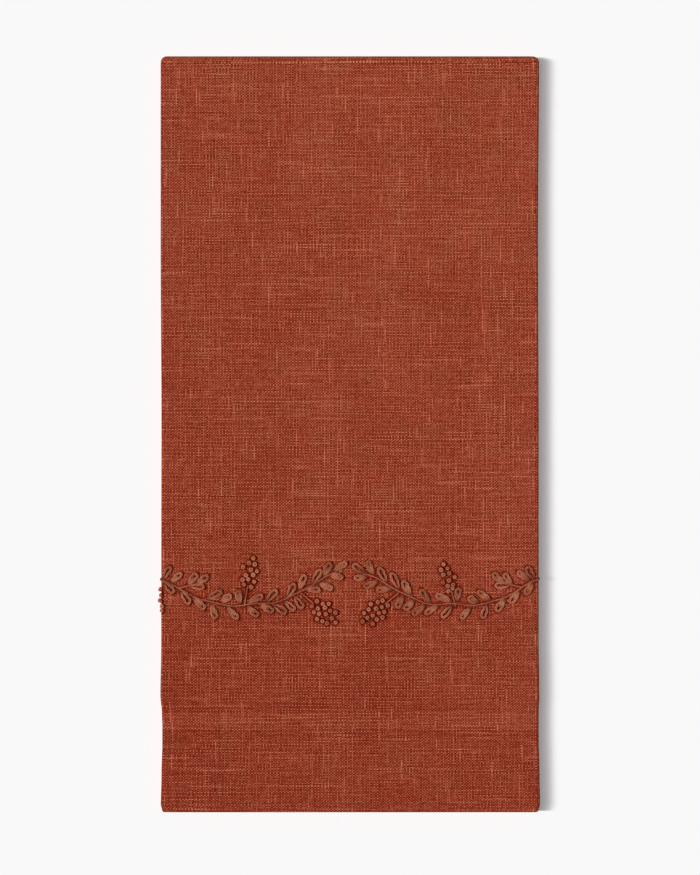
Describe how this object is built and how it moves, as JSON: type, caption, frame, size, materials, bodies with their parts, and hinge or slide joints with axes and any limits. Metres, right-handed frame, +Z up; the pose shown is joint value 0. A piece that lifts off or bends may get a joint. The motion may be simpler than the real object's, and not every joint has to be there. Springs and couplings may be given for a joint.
{
  "type": "folded embroidered linen towel",
  "caption": "Hemmed plain-weave linen towel, folded in thirds lengthwise and once across, with a garland of leaves and berries embroidered above the hem.",
  "frame": {"origin": "on the surface that the towel lies on, under the middle of the folded towel", "axes": "+X across the folded towel, +Y along it towards the closed fold, with the hemmed open end at -Y, +Z up out of the embroidered face"},
  "size_m": [0.1783, 0.35, 0.0095],
  "materials": {
    "linen": "matt plain-weave linen, terracotta",
    "thread": "stranded embroidery thread, dusty terracotta"
  },
  "bodies": {
    "root": {"cloth": "linen", "vine_left": "thread", "vine_right": "thread", "bunch_left_standing": "thread", "bunch_left_hanging": "thread", "bunch_right_hanging": "thread", "bunch_right_standing": "thread", "bunch_left_edge": "thread"}
  },
  "joints": []
}
